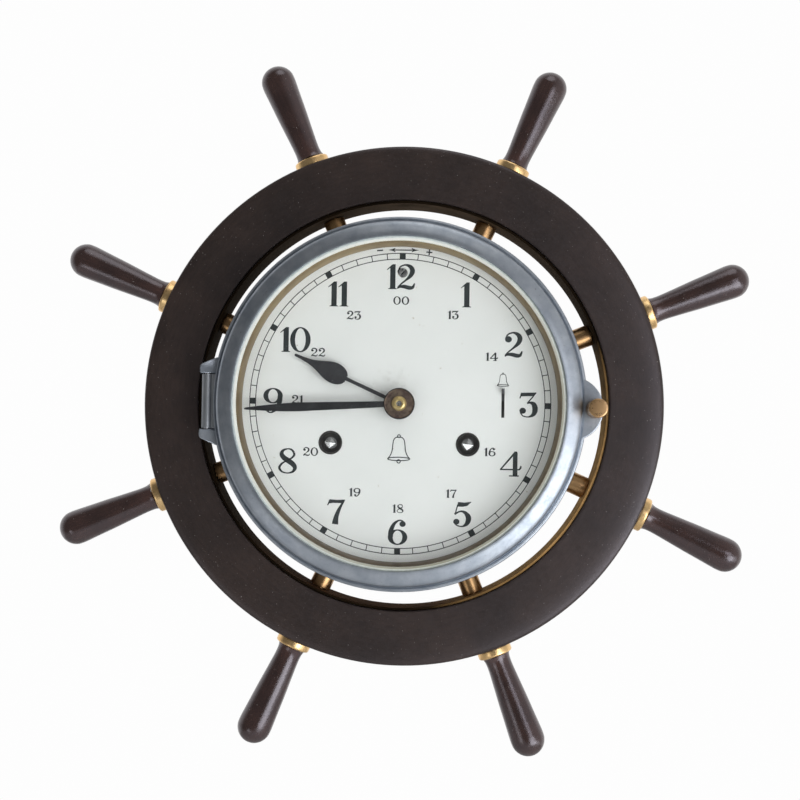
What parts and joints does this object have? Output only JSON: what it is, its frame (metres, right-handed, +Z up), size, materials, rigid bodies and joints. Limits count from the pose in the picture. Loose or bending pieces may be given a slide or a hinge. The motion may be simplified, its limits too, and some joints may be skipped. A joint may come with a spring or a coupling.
{
  "type": "ship wheel clock",
  "caption": "Key-wound wall clock set in a wooden ship's steering wheel, with turned handles on brass ferrules, a hinged glazed bezel with a thumb screw, and a white dial.",
  "frame": {"origin": "on the case's axis, on the rear face of the back cover that lies on the wall", "axes": "+Z up towards 12 o'clock, +Y into the wall, so the dial looks along -Y; +X to the viewer's right"},
  "size_m": [0.3229, 0.082, 0.3233],
  "materials": {
    "wood": "dark stained and varnished, worn",
    "brass": "aged polish",
    "nickel": "dulled and pitted plating",
    "steel": "bright",
    "dial_white": "silvery white enamel paint",
    "hand_black": "matt black",
    "bronze": "browned",
    "glass": "clear, bevelled edge"
  },
  "bodies": {
    "case": {"handle_1": "wood", "ferrule_1": "brass", "spoke_1": "brass", "handle_2": "wood", "ferrule_2": "brass", "spoke_2": "brass", "handle_3": "wood", "ferrule_3": "brass", "spoke_3": "brass", "handle_4": "wood", "ferrule_4": "brass", "spoke_4": "brass", "handle_5": "wood", "ferrule_5": "brass", "spoke_5": "brass", "handle_6": "wood", "ferrule_6": "brass", "spoke_6": "brass", "handle_7": "wood", "ferrule_7": "brass", "spoke_7": "brass", "handle_8": "wood", "ferrule_8": "brass", "spoke_8": "brass", "wheel_rim": "wood", "rim_liner": "brass", "case_drum": "nickel", "hinge_pin": "brass", "back_cover": "nickel", "back_screw_1": "steel", "back_screw_2": "steel", "back_screw_3": "steel", "dial": "dial_white", "front_plate": "brass", "rear_plate": "brass", "platform": "brass", "bell": "brass", "bell_post": "steel"},
    "bezel": {"bezel": "nickel", "glass": "glass", "glass_ring": "brass"},
    "screw_clip": {"screw_clip": "steel"},
    "thumb_screw": {"thumb_screw": "brass"},
    "minute_arbor": {"centre_arbor": "steel", "minute_hand": "hand_black", "hand_collet": "bronze", "hand_nut": "brass"},
    "hour_pipe": {"hour_wheel": "brass", "hour_hand": "hand_black"},
    "minute_wheel": {"minute_wheel": "brass"},
    "second_wheel": {"second_wheel": "brass"},
    "time_barrel": {"time_barrel": "brass"},
    "time_winding_arbor": {"time_winding_arbor": "steel"},
    "strike_barrel": {"strike_barrel": "brass"},
    "star_wheel": {"star_wheel": "brass"},
    "strike_winding_arbor": {"strike_winding_arbor": "steel"},
    "regulator_arbor": {"regulator_arbor": "steel"},
    "strike_lever": {"strike_lever": "steel"},
    "hammer": {"hammer": "steel"},
    "balance_wheel": {"balance_wheel": "brass"}
  },
  "joints": [
    {"name": "bezel_hinge", "type": "hinge", "parent": "case", "child": "bezel", "pos_m": [-0.0878, -0.062, 0], "axis": [0, 0, -1], "range_deg": [0, 120]},
    {"name": "clip_slide", "type": "slide", "parent": "bezel", "child": "screw_clip", "axis": [0, -1, 0], "range_m": [0, 0.0018]},
    {"name": "thumb_screw_turn", "type": "hinge", "parent": "screw_clip", "child": "thumb_screw", "pos_m": [0.0887, -0.066, -0.0013], "axis": [0, -1, 0], "range_deg": [0, 1080]},
    {"name": "minute_turn", "type": "hinge", "parent": "case", "child": "minute_arbor", "pos_m": [0, -0.055, 0], "axis": [0, 1, 0], "continuous": true},
    {"name": "hour_turn", "type": "hinge", "parent": "case", "child": "hour_pipe", "pos_m": [0, -0.055, 0], "axis": [0, 1, 0], "continuous": true},
    {"name": "minute_wheel_turn", "type": "hinge", "parent": "case", "child": "minute_wheel", "pos_m": [-0.01247, -0.05, 0.0072], "axis": [0, 1, 0], "continuous": true},
    {"name": "second_wheel_turn", "type": "hinge", "parent": "case", "child": "second_wheel", "pos_m": [0.0199, -0.036, 0.0134], "axis": [0, 1, 0], "continuous": true},
    {"name": "time_barrel_turn", "type": "hinge", "parent": "case", "child": "time_barrel", "pos_m": [0.0315, -0.035, -0.0181], "axis": [0, 1, 0], "continuous": true},
    {"name": "time_winding", "type": "hinge", "parent": "case", "child": "time_winding_arbor", "pos_m": [0.0315, -0.04, -0.0181], "axis": [0, 1, 0], "range_deg": [0, 2520]},
    {"name": "strike_barrel_turn", "type": "hinge", "parent": "case", "child": "strike_barrel", "pos_m": [-0.0315, -0.035, -0.0181], "axis": [0, 1, 0], "continuous": true},
    {"name": "star_wheel_turn", "type": "hinge", "parent": "case", "child": "star_wheel", "pos_m": [-0.0386, -0.036, 0.0098], "axis": [0, 1, 0], "continuous": true},
    {"name": "strike_winding", "type": "hinge", "parent": "case", "child": "strike_winding_arbor", "pos_m": [-0.0315, -0.04, -0.0181], "axis": [0, 1, 0], "range_deg": [0, 2520]},
    {"name": "regulator_turn", "type": "hinge", "parent": "case", "child": "regulator_arbor", "pos_m": [0.0007, -0.045, 0.0604], "axis": [0, 1, 0], "range_deg": [-60, 60]},
    {"name": "strike_lever_slide", "type": "slide", "parent": "case", "child": "strike_lever", "axis": [0, 0, -1], "range_m": [0, 0.0105]},
    {"name": "hammer_swing", "type": "hinge", "parent": "case", "child": "hammer", "pos_m": [-0.056, -0.03, -0.008], "axis": [0, -1, 0], "range_deg": [0, 20], "stiffness_Nm_per_rad": 0.01, "springref_deg": -11.46},
    {"name": "balance_swing", "type": "hinge", "parent": "case", "child": "balance_wheel", "pos_m": [0, -0.034, 0.046], "axis": [0, 1, 0], "range_deg": [-270, 270], "stiffness_Nm_per_rad": 0.00002}
  ],
  "couplings": [
    {"joint": "thumb_screw_turn", "follows": "clip_slide", "rad_per_m": 10471},
    {"joint": "hour_turn", "follows": "minute_turn", "ratio": 0.083333},
    {"joint": "minute_wheel_turn", "follows": "minute_turn", "ratio": -0.33333},
    {"joint": "second_wheel_turn", "follows": "minute_turn", "ratio": -0.25},
    {"joint": "time_barrel_turn", "follows": "minute_turn", "ratio": 0.041667},
    {"joint": "star_wheel_turn", "follows": "strike_barrel_turn", "ratio": -5}
  ]
}
